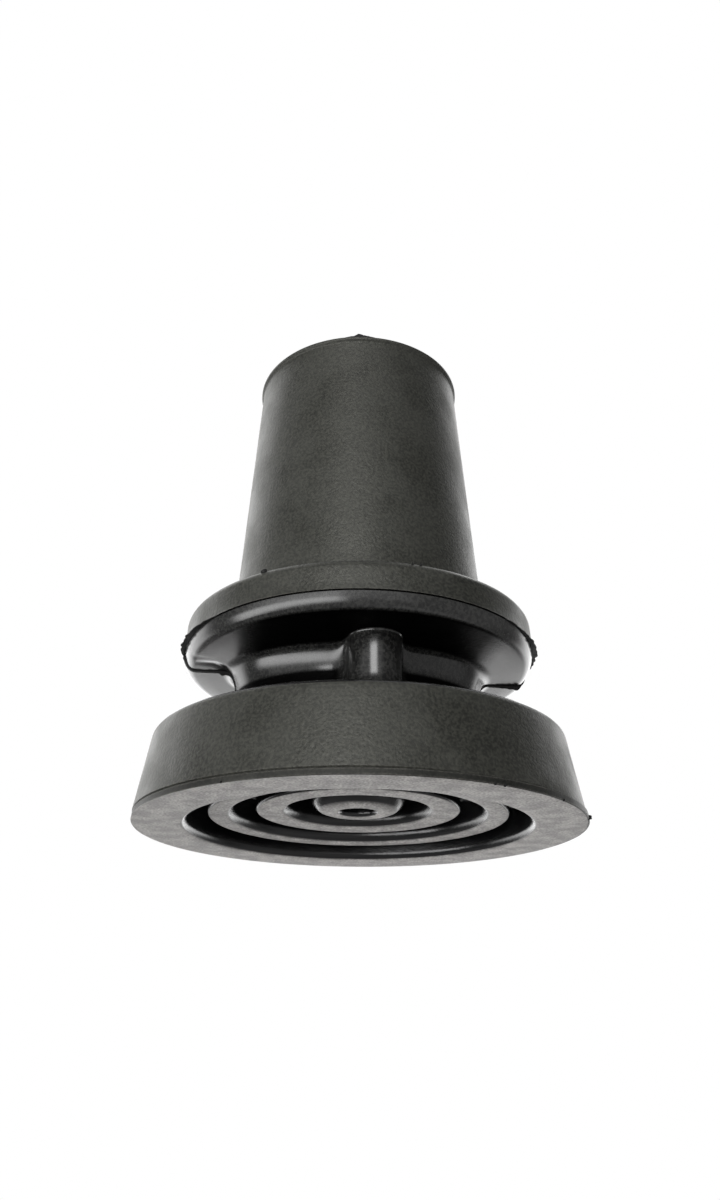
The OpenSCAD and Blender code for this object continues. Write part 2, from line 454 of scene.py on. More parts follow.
def in_hole(r, z):
    return r < HOLE_R + HOLE_MARGIN and z > BOSS_Z + HOLE_EDGE


def at_top_edge(r, z):
    return z > BASE_H - SHADED_TOP


neck, low_rows = neck_rows(), collar_low_rows()
# The base's topmost edge gets the shiny finish for its painted shade.
flank_rows = repainted(circle_rows(flank, "matte"), at_top_edge, "shiny")
rows = repainted(circle_rows(underside, "tread"), in_hole, "deep")
rows += plate_rows() + flank_rows
rows += flat_rows(flank_rows[-1], neck[0], "shiny")
rows += neck
rows += flat_rows(neck[-1], low_rows[0], "shiny")
rows += low_rows
rows += circle_rows(line_groove, "deep")
rows += circle_rows(collar_high, "matte")
print("rows:", len(rows))

# %% [markdown]
# Moulded rubber is never quite even, so each point is moved sideways by a few hundredths of a
# millimetre, by a smooth noise that is the same each time. Beside the left seam the collar's
# underside also has a shallow curved trough, where the rubber shrank. Both are moves of
# points and not bumps of a material, so they show in the mesh too.

# %% Unevenness of the rubber
WAVE, WAVE_SIZE, SECOND_NOISE = 0.035, 9.0, Vector((7, 3, 1))
TROUGH_DEPTH, TROUGH_W = 0.16, 0.8
TROUGH_FROM, TROUGH_LENGTH, TROUGH_MARGIN = 18.0, 4.0, 0.5
TROUGH_ASIDE, TROUGH_SWEEP, TROUGH_BEND = 1.2, 3.6, 1.3
TROUGH_MIDDLE, TROUGH_FADE = 0.5, 0.45


def uneven(p):
    """Small smooth shift of a point, in millimetres."""
    at = Vector(p) / WAVE_SIZE
    return Vector((noise.noise(at), noise.noise(at + SECOND_NOISE), 0)) * WAVE


def sink(p):
    """A shallow trough on the collar's underside, beside the seam at the left."""
    x, y, z = p
    if abs(z - UNDER_Z) > TROUGH_MARGIN or y > 0 or x > TROUGH_MARGIN - TROUGH_FROM:
        return Vector((0, 0, 0))
    share = min(max((-x - TROUGH_FROM) / TROUGH_LENGTH, 0), 1)
    middle = -TROUGH_ASIDE - TROUGH_SWEEP * share**TROUGH_BEND
    fade = math.exp(-((share - TROUGH_MIDDLE) / TROUGH_FADE) ** 4)
    return Vector((0, 0, TROUGH_DEPTH * fade * math.exp(-((y - middle) / TROUGH_W) ** 2)))


# %% [markdown]
# Rows and columns become quads, and a fan closes the grid at the hole's ceiling and the
# socket's floor. The mesh is shaded smooth, but creases sharper than about 30 degrees stay
# crisp.

# %% Skin
FINISHES = ["matte", "shiny", "tread", "plate", "deep"]
SHARP = math.radians(32)


def grid_faces(n):
    """Quads between the rows and the two closing fans, each with the number of its finish."""
    faces, finish = [], []
    for i in range(len(rows) - 1):
        for j in range(n):
            k = (j + 1) % n
            faces.append((i * n + j, i * n + k, (i + 1) * n + k, (i + 1) * n + j))
            finish.append(FINISHES.index(rows[i + 1][2]))
    last = len(rows) - 1
    for fan, row in enumerate((0, last)):
        middle = len(rows) * n + fan
        for j in range(n):
            pair = (row * n + j, row * n + (j + 1) % n)
            faces.append((middle, *pair) if fan else (middle, *pair[::-1]))
            finish.append(FINISHES.index(rows[row][2]))
    return faces, finish


def build_skin():
    verts = []
    for r, z, _ in rows:
        verts += list(zip(r * np.cos(angles), r * np.sin(angles), z))
    verts += [(0, 0, float(row[1][0])) for row in (rows[0], rows[-1])]
    faces, finish = grid_faces(len(angles))
    moved = [tuple((Vector(v) + uneven(v) + sink(v)) * MM) for v in verts]
    mesh = bpy.data.meshes.new("moulded_body")
    mesh.from_pydata(moved, [], faces)
    mesh.polygons.foreach_set("material_index", finish)
    mesh.polygons.foreach_set("use_smooth", [True] * len(faces))
    mesh.set_sharp_from_angle(angle=SHARP)
    mesh.update()
    body = bpy.data.objects.new("moulded_body", mesh)
    bpy.context.scene.collection.objects.link(body)
    return body


body = build_skin()
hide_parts("rubber_tip")
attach(body, "root")
print("skin:", len(body.data.polygons), "faces")

# %% [markdown]
# Where two parts of a mould meet, a little rubber is pressed out and stays as a thin ragged
# fin. Each piece of flash is a strip between a line of feet on the skin and a line of tips.
# A strip with a small thickness is a closed piece, so it has no open edges in the mesh.

# %% Blades of flash
def add_piece(name, verts, faces):
    """A small piece of rubber that belongs to the tip, from points in millimetres."""
    mesh = bpy.data.meshes.new(name)
    mesh.from_pydata([tuple(Vector(v) * MM) for v in verts], [], faces)
    shape = bmesh.new()
    shape.from_mesh(mesh)
    bmesh.ops.recalc_face_normals(shape, faces=shape.faces)
    shape.to_mesh(mesh)
    shape.free()
    piece = bpy.data.objects.new(name, mesh)
    bpy.context.scene.collection.objects.link(piece)
    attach(piece, "root")
    return piece


def blade(name, feet, tips, half_foot, half_tip, across):
    """A closed thin strip between two lines of points. Lengths are in millimetres."""
    verts, faces = [], []
    for foot, tip in zip(feet, tips):
        foot, tip = Vector(foot), Vector(tip)
        verts += [foot - across * half_foot, foot + across * half_foot]
        verts += [tip + across * half_tip, tip - across * half_tip]
    for i in range(len(feet) - 1):
        for j in range(4):
            k = (j + 1) % 4
            faces.append((4 * i + j, 4 * i + k, 4 * i + 4 + k, 4 * i + 4 + j))
    last = 4 * (len(feet) - 1)
    faces += [(0, 3, 2, 1), (last, last + 1, last + 2, last + 3)]
    return add_piece(name, verts, faces)


def ragged(value, place, size, share):
    """A height made uneven by noise, by a share of itself."""
    return value * (1 + share * noise.noise(Vector(place) / size))


def compass(azimuth, r, z):
    """A point at an azimuth in degrees, 0 in front of the tip and 90 at its right."""
    a = math.radians(azimuth)
    return Vector((r * math.sin(a), -r * math.cos(a), z))


# %% [markdown]
# Two fins hang on the collar's groove, round the two ends of the neck's mould. They were
# never trimmed, so they are wide in places and nearly gone in others.

# %% Fins on the collar
FIN_STEPS, FIN_ROOT, FIN_DROP, FIN_SAG = 90, 0.3, 0.06, 0.25
FIN_ROUGH_SIZE, FIN_ROUGH = 2.5, 0.5
FIN_HALF_FOOT, FIN_HALF_TIP = 0.09, 0.05
FINS = {
    # azimuth and width of the fin, from the front to the seam and a little past it
    "left_fin": (
        (-55, 0), (-60, 0.3), (-67, 0.6), (-76, 0.6), (-85, 0.62), (-90, 0.35), (-98, 0.2), (-108, 0.0),
    ),
    "right_fin": (
        (42, 0), (46, 0.3), (49, 0.12), (56, 0.3), (62, 0.5), (73, 0.6), (80, 0.35), (84, 0.5), (88, 0.1),
    ),
}


def add_fin(name, stations):
    """A ragged fin under the collar's groove."""
    places = [a for a, _ in stations]
    widths = [w for _, w in stations]
    share = np.linspace(0, 1, FIN_STEPS)
    azimuths = places[0] + (places[-1] - places[0]) * share
    feet, tips = [], []
    for azimuth in azimuths:
        width = np.interp(abs(azimuth), np.abs(places), widths)
        width = ragged(width, (azimuth, 0, 0), FIN_ROUGH_SIZE, FIN_ROUGH)
        foot_z = PARTING_Z - FIN_DROP
        feet.append(compass(azimuth, COLLAR_R - FIN_ROOT, foot_z))
        tips.append(compass(azimuth, COLLAR_R + width, foot_z - FIN_SAG * width))
    return blade(name, feet, tips, FIN_HALF_FOOT, FIN_HALF_TIP, Vector((0, 0, 1)))


flash = [add_fin(name, stations) for name, stations in FINS.items()]
print("fins:", [f.name for f in flash])

# %% [markdown]
# The front and back halves of the mould met at the two ends of the oval, so a seam of flash
# runs from the collar's groove over its underside and down the neck. It follows the skin's own
# outline there, which is read back from the rows, and stands out at right angles to it.

# %% Seams over the collar's underside and down the neck
SEAM_STEP, SEAM_ROOT, WAY_POINTS = 0.12, 0.1, 2
SEAM_ROUGH_SIZE, SEAM_ROUGH = 0.6, 0.35
SEAM_HALF_FOOT, SEAM_HALF_TIP = 0.11, 0.05
SEAMS = {
    # side, then distance along the seam from the collar's groove and height of the flash there
    "left_seam": (-1, (
        (0, 0.35), (1.5, 0.2), (4, 0.16), (5.6, 0.2), (6.6, 0.55), (7.6, 0.4), (8.6, 0.16), (14, 0.1),
    )),
    "right_seam": (1, ((0, 0.15), (2, 0.2), (2.8, 0.6), (4.4, 0.35), (6, 0.2), (8, 0.2), (14, 0.1))),
}


def section_at(side):
    """The skin's outline at +X or -X, from the collar's groove down to the base."""
    column = int(np.argmin(np.abs(angles - (0 if side > 0 else math.pi))))
    chain = [(r[column], z[column]) for r, z, f in neck + low_rows]
    return [np.array(p) for p in chain[::-1]]


def add_seam(name, side, stations):
    """A ragged seam of flash along the skin's outline at one end of the oval."""
    chain = section_at(side)
    pieces = [np.linalg.norm(b - a) for a, b in zip(chain, chain[1:])]
    lengths = np.concatenate([[0], np.cumsum(pieces)])
    at = np.arange(0, lengths[-1], SEAM_STEP)
    r = np.interp(at, lengths, [p[0] for p in chain])
    z = np.interp(at, lengths, [p[1] for p in chain])
    feet, tips = [], []
    for i, s in enumerate(at):
        a, b = max(i - WAY_POINTS, 0), min(i + WAY_POINTS, len(at) - 1)
        way = Vector((r[b] - r[a], z[b] - z[a])).normalized()
        height = np.interp(s, [p for p, _ in stations], [h for _, h in stations])
        height = ragged(height, (s, side, 0), SEAM_ROUGH_SIZE, SEAM_ROUGH)
        out = Vector((-way[1], way[0]))
        feet.append((side * (r[i] - SEAM_ROOT * out[0]), 0, z[i] - SEAM_ROOT * out[1]))
        tips.append((side * (r[i] + height * out[0]), 0, z[i] + height * out[1]))
    return blade(name, feet, tips, SEAM_HALF_FOOT, SEAM_HALF_TIP, Vector((0, 1, 0)))


flash += [add_seam(name, side, stations) for name, (side, stations) in SEAMS.items()]
print("flash so far:", [f.name for f in flash])

# %% [markdown]
# A small pointed nib stands on the rim, at the front, where the mould was vented. It is one
# more blade.

# %% Nib at the rim
NIB_AZIMUTH, NIB_H, NIB_STEPS = -8.2, 0.55, 40
NIB_OFFSETS, NIB_SHARES = (-7, -2, 0, 3, 9), (0, 0.35, 1, 0.5, 0)
NIB_ROUGH_SIZE, NIB_ROUGH = 1.2, 0.4
NIB_HALF_FOOT, NIB_HALF_TIP = 0.12, 0.05


def add_rim_nib():
    feet, tips = [], []
    for offset in np.linspace(NIB_OFFSETS[0], NIB_OFFSETS[-1], NIB_STEPS):
        height = NIB_H * np.interp(offset, NIB_OFFSETS, NIB_SHARES)
        height = ragged(height, (offset, 3, 0), NIB_ROUGH_SIZE, NIB_ROUGH)
        feet.append(compass(NIB_AZIMUTH + offset, RIM_R + 0.1, RIM_Z - 0.15))
        tips.append(compass(NIB_AZIMUTH + offset, RIM_R + 0.2, RIM_Z + height))
    return blade("rim_nib", feet, tips, NIB_HALF_FOOT, NIB_HALF_TIP, compass(NIB_AZIMUTH, 1, 0))


flash.append(add_rim_nib())
print("flash:", len(flash), "pieces")

# %% [markdown]
# Small crumbs of rubber stayed where the flash was torn off: on the collar's shoulder and
# along the tread's outer edge. Each is a little lump, a ball that is pushed out of round by
# noise, which is enough at this size.

# %% Crumbs
CRUMB_LUMPS, CRUMB_WAVES = 0.5, 1.3
CRUMBS = (
    # name, azimuth, distance from the axis, height, length, depth
    ("shoulder_crumb", -37.5, 23.55, 27.35, 0.75, 0.3),
    ("shoulder_grit_1", 8.0, 23.6, 27.3, 0.3, 0.16),
    ("shoulder_grit_2", 10.5, 23.6, 27.3, 0.4, 0.14),
    ("tread_crumb_1", 21.5, 29.1, 0.05, 0.25, 0.16),
    ("tread_crumb_2", 24.0, 29.1, 0.05, 0.3, 0.18),
    ("tread_crumb_3", 44.0, 29.15, 0.1, 0.3, 0.16),
    ("tread_crumb_4", 66.0, 29.2, 0.25, 0.7, 0.32),
    ("tread_crumb_5", -38.0, 29.1, 0.1, 0.25, 0.14),
)


def add_crumb(name, azimuth, r, z, length, depth):
    lump = bmesh.new()
    bmesh.ops.create_icosphere(lump, subdivisions=3, radius=1)
    middle, along, out = compass(azimuth, r, z), compass(azimuth + 90, 1, 0), compass(azimuth, 1, 0)
    verts = []
    for v in lump.verts:
        p = v.co * (1 + CRUMB_LUMPS * noise.noise(v.co * CRUMB_WAVES + middle))
        verts.append(middle + along * p.x * length / 2 + out * p.y * depth + Vector((0, 0, p.z * depth)))
    faces = [tuple(v.index for v in f.verts) for f in lump.faces]
    lump.free()
    piece = add_piece(name, verts, faces)
    piece.data.polygons.foreach_set("use_smooth", [True] * len(faces))
    return piece


crumbs = [add_crumb(*row) for row in CRUMBS]
print("flash and crumbs:", len(flash) + len(crumbs), "pieces")

# %% [markdown]
# A finish is easier to read as formulas than as a list of nodes and links, so a few small
# helpers hide the wiring.

# %% Helpers for nodes
RAMP_SOCKETS = ("Value", "From Min", "From Max", "To Min", "To Max")


def wire(tree, value, socket):
    """Link a socket to a socket, or set a plain value on it."""
    if isinstance(value, bpy.types.NodeSocket):
        tree.links.new(value, socket)
    else:
        socket.default_value = value


def calc(tree, operation, *values):
    """A math node, with its inputs linked or set."""
    node = tree.nodes.new("ShaderNodeMath")
    node.operation = operation
    for value, socket in zip(values, node.inputs):
        wire(tree, value, socket)
    return node.outputs[0]


def times(tree, one, other):
    """The product of two values."""
    return calc(tree, "MULTIPLY", one, other)


def ramp(tree, value, start, end, low=0.0, high=1.0):
    """A smooth step of a value from low at the start to high at the end."""
    node = tree.nodes.new("ShaderNodeMapRange")
    node.interpolation_type = "SMOOTHSTEP"
    for given, name in zip((value, start, end, low, high), RAMP_SOCKETS):
        wire(tree, given, node.inputs[name])
    return node.outputs[0]


def blend(tree, share, one, other):
    """A colour between two colours."""
    node = tree.nodes.new("ShaderNodeMix")
    node.data_type = "RGBA"
    for value, socket in zip((share, one, other), (node.inputs[0], node.inputs[6], node.inputs[7])):
        wire(tree, value, socket)
    return node.outputs[2]


def parts_of(tree, vector):
    """The three numbers of a vector or a colour."""
    node = tree.nodes.new("ShaderNodeSeparateXYZ")
    wire(tree, vector, node.inputs[0])
    return node.outputs


def new_group(name, inputs, outputs):
    """An empty node group. Inputs are names with a default number, and outputs are names."""
    tree = bpy.data.node_groups.new(name, "ShaderNodeTree")
    for label, default in inputs.items():
        socket = tree.interface.new_socket(label, in_out="INPUT", socket_type="NodeSocketFloat")
        socket.default_value = default
    for label in outputs:
        tree.interface.new_socket(label, in_out="OUTPUT", socket_type="NodeSocketFloat")
    return tree, tree.nodes.new("NodeGroupInput").outputs, tree.nodes.new("NodeGroupOutput").inputs


def use_group(tree, group, **values):
    """A group placed in a material, with its own values. An underscore stands for a space."""
    node = tree.nodes.new("ShaderNodeGroup")
    node.node_tree = group
    node.label = group.name
    for name, value in values.items():
        wire(tree, value, node.inputs[name.replace("_", " ")])
    return node.outputs


# %% [markdown]
# A blasted mould leaves a fine tooth on the rubber, and the compound shows broad faint patches
# where it flowed or bloomed. Two sizes of noise make the height of the tooth, and a large
# noise makes the patches. Every finish uses this group, with a grain of its own size. The
# noise is taken in millimetres on the tip, so it does not stretch over the grid.

# %% Moulded grain group
FINE_SHARE, COARSE_SHARE, COARSE_SIZE = 0.6, 0.4, 3.5
PATCH_EDGES, TOOTH_EDGES = (0.36, 0.64), (0.35, 0.65)


def place_mm(tree):
    """The place on the tip in millimetres."""
    node = tree.nodes.new("ShaderNodeVectorMath")
    node.operation = "SCALE"
    wire(tree, tree.nodes.new("ShaderNodeTexCoord").outputs["Object"], node.inputs[0])
    node.inputs["Scale"].default_value = 1 / MM
    return node.outputs[0]


def noise_of(tree, where, size, detail):
    """A noise whose waves are about as long as the size."""
    node = tree.nodes.new("ShaderNodeTexNoise")
    wire(tree, where, node.inputs["Vector"])
    wire(tree, calc(tree, "DIVIDE", 1.0, size), node.inputs["Scale"])
    node.inputs["Detail"].default_value = detail
    return node.outputs[0]


def moulded_grain_group():
    inputs = {"Grain Size": 0.3, "Patch Size": 6.0}
    tree, given, result = new_group("moulded_grain", inputs, ("Height", "Patches", "Tooth"))
    where = place_mm(tree)
    fine = noise_of(tree, where, given["Grain Size"], 3.0)
    coarse = noise_of(tree, where, times(tree, given["Grain Size"], COARSE_SIZE), 2.0)
    fine_part = times(tree, fine, FINE_SHARE)
    coarse_part = times(tree, coarse, COARSE_SHARE)
    wire(tree, calc(tree, "ADD", fine_part, coarse_part), result["Height"])
    patches = noise_of(tree, where, given["Patch Size"], 4.0)
    wire(tree, ramp(tree, patches, *PATCH_EDGES), result["Patches"])
    wire(tree, ramp(tree, fine, *TOOTH_EDGES), result["Tooth"])
    return tree


moulded_grain = moulded_grain_group()
print("moulded grain group has", len(moulded_grain.nodes), "nodes")

# %% [markdown]
# Rare pale specks of dust lie on black rubber. Each cell of a cell pattern may hold one, at
# its middle, and the cell's own colour serves as a die: one part of it says whether there
# is a speck, and another how large it is.

# %% Dust group
def dust_group():
    inputs = {"Spacing": 3.0, "Speck Size": 0.12, "Share": 0.2}
    tree, given, result = new_group("dust_specks", inputs, ("Mask",))
    cells = tree.nodes.new("ShaderNodeTexVoronoi")
    wire(tree, place_mm(tree), cells.inputs["Vector"])
    wire(tree, calc(tree, "DIVIDE", 1.0, given["Spacing"]), cells.inputs["Scale"])
    away = times(tree, cells.outputs["Distance"], given["Spacing"])
    luck = parts_of(tree, cells.outputs["Color"])
    size = times(tree, given["Speck Size"], calc(tree, "ADD", 0.5, luck[1]))
    chosen = calc(tree, "LESS_THAN", luck[0], given["Share"])
    near = ramp(tree, away, times(tree, size, 0.5), size, 1.0, 0.0)
    wire(tree, times(tree, near, chosen), result["Mask"])
    return tree


dust_specks = dust_group()
print("dust group has", len(dust_specks.nodes), "nodes")

# %% [markdown]
# The faces that look down and lie low touch the ground, and are rubbed grey. The walls
# between them stay black. The surface's own normal and its height tell the two apart, so
# the mask follows every rounded edge without any painting.

# %% Rubbed faces group
DOWN_EDGES, LOW_START = (0.8, 0.995), 0.8
PATCH_LOSS, TOOTH_LOSS = 0.16, 0.12


def rubbed_group():
    inputs = {"Highest": 3.2, "Patches": 0.5, "Tooth": 0.5}
    tree, given, result = new_group("rubbed_faces", inputs, ("Mask",))
    normal = parts_of(tree, tree.nodes.new("ShaderNodeNewGeometry").outputs["Normal"])
    place = parts_of(tree, place_mm(tree))
    down = ramp(tree, times(tree, normal[2], -1.0), *DOWN_EDGES)
    start = times(tree, given["Highest"], LOW_START)
    low = ramp(tree, place[2], start, given["Highest"], 1.0, 0.0)
    patch_loss = times(tree, given["Patches"], PATCH_LOSS)
    tooth_loss = times(tree, given["Tooth"], TOOTH_LOSS)
    worn = calc(tree, "SUBTRACT", 1.0, calc(tree, "ADD", patch_loss, tooth_loss))
    wire(tree, times(tree, times(tree, down, low), worn), result["Mask"])
    return tree


rubbed_faces = rubbed_group()
print("rubbed faces group has", len(rubbed_faces.nodes), "nodes")

# %% [markdown]
# Shade is painted on the middle of the collar's underside and on the hollow below the
# neck's waist, which lie in the shade between the collar and the base: there the colour
# is near black and the coat is left out. The rib stands proud of the hollow, so it keeps
# its shine down to its foot, and so does the flat top of the base, which faces up.

# %% Painted shade group
CEILING_EDGES, END_FADE, WAIST_FADE = (0.8, 0.97), 4.0, 0.6
RIB_EDGES, UPWARD_EDGES = (3.4, 4.6), (0.5, 0.85)


def painted_shade_group():
    tree, given, result = new_group("painted_shade_places", {"Half Length": 13.5, "Waist": 17.4}, ("Mask",))
    normal = parts_of(tree, tree.nodes.new("ShaderNodeNewGeometry").outputs["Normal"])
    place = parts_of(tree, place_mm(tree))
    aside = calc(tree, "ABSOLUTE", place[0])
    down = ramp(tree, times(tree, normal[2], -1.0), *CEILING_EDGES)
    end = calc(tree, "ADD", given["Half Length"], END_FADE)
    middle = ramp(tree, aside, given["Half Length"], end, 1.0, 0.0)
    above = calc(tree, "ADD", given["Waist"], WAIST_FADE)
    low = ramp(tree, place[2], given["Waist"], above, 1.0, 0.0)
    beside_rib = ramp(tree, aside, *RIB_EDGES)
    upright = ramp(tree, normal[2], *UPWARD_EDGES, 1.0, 0.0)
    low = times(tree, times(tree, low, beside_rib), upright)
    wire(tree, calc(tree, "MAXIMUM", times(tree, down, middle), low), result["Mask"])
    return tree


painted_shade_places = painted_shade_group()
print("unpolished places group has", len(painted_shade_places.nodes), "nodes")

# %% [markdown]
# Edges are rubbed paler by handling. A bevel's normal differs from the surface's own normal
# only near an edge, so the angle between the two finds the edges by itself, and the grain
# breaks the pale line up.

# %% Worn edges group
BEVEL_SAMPLES, EDGE_COSINES = 4, (0.97, 0.8)
LEAST_WEAR, TOOTH_WEAR = 0.4, 0.6


def worn_edges_group():
    tree, given, result = new_group("worn_edges", {"Width": 0.3, "Tooth": 0.5}, ("Mask",))
    bevel = tree.nodes.new("ShaderNodeBevel")
    bevel.samples = BEVEL_SAMPLES
    wire(tree, times(tree, given["Width"], MM), bevel.inputs["Radius"])
    dot = tree.nodes.new("ShaderNodeVectorMath")
    dot.operation = "DOT_PRODUCT"
    wire(tree, bevel.outputs[0], dot.inputs[0])
    wire(tree, tree.nodes.new("ShaderNodeNewGeometry").outputs["Normal"], dot.inputs[1])
    edge = ramp(tree, dot.outputs["Value"], *EDGE_COSINES, 0.0, 1.0)
    broken = calc(tree, "ADD", LEAST_WEAR, times(tree, given["Tooth"], TOOTH_WEAR))
    wire(tree, times(tree, edge, broken), result["Mask"])
    return tree


worn_edges = worn_edges_group()
print("worn edges group has", len(worn_edges.nodes), "nodes")

# %% [markdown]
# One black compound has several finishes. They share one recipe: two tones in patches, a
# pale bloom in the tooth of the grain, rubbed edges, a few specks of dust, a roughness that
# varies with the patches, and a relief from the grain. The bloom of wax on old rubber also
# tints its sheen slightly olive.

# %% Recipe of a finish
SPECK_COLOR = (0.30, 0.29, 0.26, 1)
BLOOM_COLOR = (0.036, 0.0365, 0.030, 1)
BLOOM_TINT = (1.0, 1.0, 0.93, 1)
RELIEF_MM = 0.09


def add_finish(
    name, dark, pale, roughness, patchiness, grain, bump, specular, specks=0.0, wear=0.0, bloom=0.0
):
    """A finish of the compound. The grain is in millimetres, and the rest are shares from 0 to 1."""
    material = bpy.data.materials.new(name)
    material.use_nodes = True
    tree = material.node_tree
    shader = tree.nodes["Principled BSDF"]
    skin = use_group(tree, moulded_grain, Grain_Size=grain)
    color = blend(tree, skin["Patches"], (*dark, 1), (*pale, 1))
    if bloom:
        color = blend(tree, times(tree, skin["Tooth"], bloom), color, BLOOM_COLOR)
        shader.inputs["Specular Tint"].default_value = BLOOM_TINT
    if wear:
        edges = use_group(tree, worn_edges, Tooth=skin["Tooth"])
        color = blend(tree, times(tree, edges["Mask"], wear), color, SPECK_COLOR)
    if specks:
        dust = use_group(tree, dust_specks, Share=specks)
        color = blend(tree, dust["Mask"], color, SPECK_COLOR)
    wire(tree, color, shader.inputs["Base Color"])
    shift = times(tree, skin["Patches"], patchiness)
    wire(tree, calc(tree, "ADD", roughness, shift), shader.inputs["Roughness"])
    shader.inputs["Specular IOR Level"].default_value = specular
    relief = tree.nodes.new("ShaderNodeBump")
    relief.inputs["Strength"].default_value = bump
    relief.inputs["Distance"].default_value = RELIEF_MM * MM
    wire(tree, skin["Height"], relief.inputs["Height"])
    wire(tree, relief.outputs[0], shader.inputs["Normal"])
    return material


# %% [markdown]
# The outside of sleeve, collar and base is matte, from a blasted mould. The foot of the flank
# was formed by the tread's plate, and its colour is a little darker. The collar's groove and
# the small hole are too deep to catch light, so their colour is a painted near black, as
# shade, and the flash is dull because it was torn.

# %% Matte, plate, deep and torn rubber
matte = add_finish(
    "matte_rubber", dark=(0.005, 0.0052, 0.0042), pale=(0.011, 0.0113, 0.0098),
    roughness=0.44, patchiness=0.1, grain=0.34, bump=0.9, specular=0.42,
    specks=0.05, wear=0.12, bloom=0.5,
)
plate = add_finish(
    "plate_rubber", dark=(0.002, 0.002, 0.002), pale=(0.007, 0.007, 0.0065),
    roughness=0.5, patchiness=0.1, grain=0.3, bump=0.5, specular=0.25,
    specks=0.1, wear=0.25, bloom=0.2,
)
# Painted shade: near black for the collar's groove and the small hole.
deep = add_finish(
    "painted_shade_rubber", dark=(0.0003, 0.0003, 0.0003), pale=(0.0006, 0.0006, 0.0006),
    roughness=0.5, patchiness=0.1, grain=0.4, bump=0.4, specular=0.22,
)
torn = add_finish(
    "torn_rubber", dark=(0.002, 0.002, 0.002), pale=(0.006, 0.006, 0.006),
    roughness=0.55, patchiness=0.1, grain=0.3, bump=0.5, specular=0.2,
)
print("plain finishes:", [m.name for m in (matte, plate, deep, torn)])

# %% [markdown]
# The neck and the collar's lower half kept the shine of a polished mould. The shine is a
# coat over a black ground, because a coat's weight can be masked: it is left out where shade
# is painted, under the collar and low in the hollow, and there the colour is a painted near
# black.

# %% Shiny rubber
POLISH, POLISH_ROUGHNESS, POLISHED_GRAIN = 0.9, 0.2, 0.4
SHEEN_DARK, SHEEN_PALE = (0.004, 0.004, 0.004, 1), (0.017, 0.017, 0.016, 1)
# The near black of the painted shade, where the coat is left out.
SHADE_BLACK = (0.0004, 0.0004, 0.0004)


def add_shiny_finish():
    """The polished neck and lower collar, with painted shade under the collar and low in the hollow."""
    material = add_finish(
        "shiny_rubber", dark=SHADE_BLACK, pale=SHADE_BLACK,
        roughness=0.4, patchiness=0.1, grain=POLISHED_GRAIN, bump=0.6, specular=0.02,
    )
    tree = material.node_tree
    shader = tree.nodes["Principled BSDF"]
    # Painted shade: the mask makes the colour near black and leaves out the coat.
    dull = use_group(tree, painted_shade_places)["Mask"]
    skin = use_group(tree, moulded_grain, Grain_Size=POLISHED_GRAIN)
    sheen = blend(tree, skin["Tooth"], SHEEN_DARK, SHEEN_PALE)
    shade_black = shader.inputs["Base Color"].links[0].from_socket
    wire(tree, blend(tree, dull, sheen, shade_black), shader.inputs["Base Color"])
    gloss = times(tree, calc(tree, "SUBTRACT", 1.0, dull), POLISH)
    wire(tree, gloss, shader.inputs["Coat Weight"])
    shader.inputs["Coat Roughness"].default_value = POLISH_ROUGHNESS
    return material


shiny = add_shiny_finish()
print("polished finish has", len(shiny.node_tree.nodes), "nodes")

# %% [markdown]
# The underside is shiny and black on its walls, and rubbed grey where it stands on the
# ground. The mask of the rubbed faces picks between the two, for the colour and for the
# roughness.

# %% Tread rubber
DUST_PALE, DUST_DARK = (0.50, 0.48, 0.465, 1), (0.36, 0.346, 0.335, 1)
TOOTH_GREY, TOOTH_SHARE = (0.17, 0.165, 0.159, 1), 0.6
TREAD_GRAIN, TREAD_PATCH, RUBBED_ROUGHNESS = 0.3, 2.4, 0.75


def add_tread_finish():
    """Shiny black walls, and grey faces rubbed dull on the ground."""
    material = add_finish(
        "tread_rubber", dark=(0.0008, 0.0008, 0.001), pale=(0.0016, 0.0016, 0.0018),
        roughness=0.2, patchiness=0.06, grain=0.35, bump=0.5, specular=0.4,
    )
    tree = material.node_tree
    shader = tree.nodes["Principled BSDF"]
    skin = use_group(tree, moulded_grain, Grain_Size=TREAD_GRAIN, Patch_Size=TREAD_PATCH)
    rubbed = use_group(tree, rubbed_faces, Patches=skin["Patches"], Tooth=skin["Tooth"])["Mask"]
    grey = blend(tree, skin["Patches"], DUST_PALE, DUST_DARK)
    grey = blend(tree, times(tree, skin["Tooth"], TOOTH_SHARE), grey, TOOTH_GREY)
    walls = shader.inputs["Base Color"].links[0].from_socket
    wire(tree, blend(tree, rubbed, walls, grey), shader.inputs["Base Color"])
    wall_roughness = shader.inputs["Roughness"].links[0].from_socket
    keep = times(tree, wall_roughness, calc(tree, "SUBTRACT", 1.0, rubbed))
    dull = times(tree, rubbed, RUBBED_ROUGHNESS)
    wire(tree, calc(tree, "ADD", keep, dull), shader.inputs["Roughness"])
    return material


tread = add_tread_finish()
print("tread's finish has", len(tread.node_tree.nodes), "nodes")

# %% [markdown]
# Each face of the skin carries the number of its finish, in the order of the list FINISHES,
# so the materials are added in that order. Flash and crumbs are all torn rubber.

# %% Finishes on the pieces
for finish in (matte, shiny, tread, plate, deep):
    body.data.materials.append(finish)
for piece in flash + crumbs:
    piece.data.materials.append(torn)
print("finishes on the body:", [m.name for m in body.data.materials])

# %% [markdown]
# The camera looks up from below the tread, so a floor there would hide the tip. The white of
# the background therefore comes from the world. The light comes from the world too: a dim
# room, with a few wide soft panels. Black rubber shows little colour of its own, and most of
# what the eye sees is the mirror image of such panels, so their places matter more than
# their strength.

# %% Soft panel group
PANEL_INPUTS = (
    "Azimuth", "Elevation", "Aim Azimuth", "Half Width", "Aim Elevation", "Half Height", "Softness", "Level",
)


